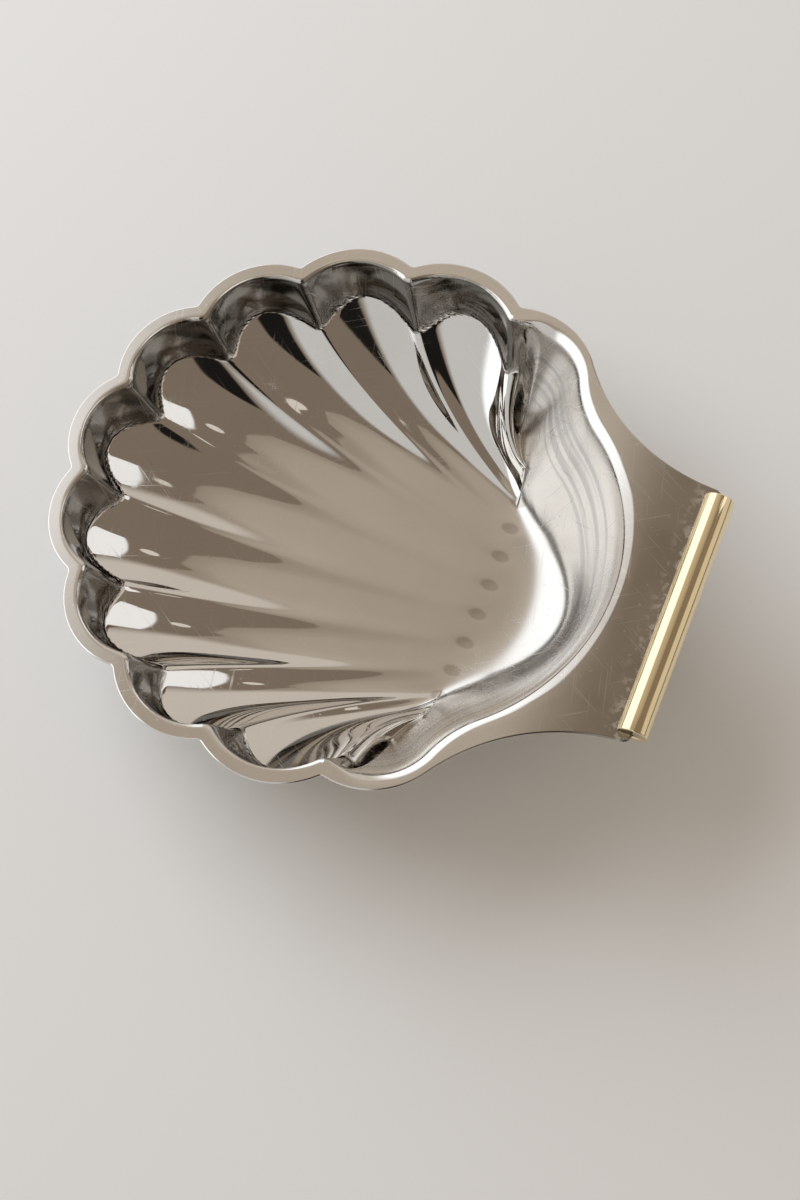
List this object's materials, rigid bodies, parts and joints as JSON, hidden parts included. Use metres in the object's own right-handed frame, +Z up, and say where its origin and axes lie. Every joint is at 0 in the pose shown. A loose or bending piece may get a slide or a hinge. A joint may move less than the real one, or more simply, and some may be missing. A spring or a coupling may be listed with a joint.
{
  "type": "shell dish",
  "caption": "Scallop-shaped serving dish pressed from polished sheet steel, with a fluted bowl, a flat flanged rim and a slotted brass rod gripping its tab as a handle.",
  "frame": {"origin": "under the middle of the dish's box, on the table that its flat floor stands on", "axes": "+X from the bowl towards the rod handle, +Y along the rod, +Z up"},
  "size_m": [0.218, 0.1916, 0.0635],
  "materials": {
    "steel": "mirror polished, with fine scratches",
    "brass": "polished"
  },
  "bodies": {
    "root": {"pressed_shell": "steel", "slotted_rod": "brass"}
  },
  "joints": []
}
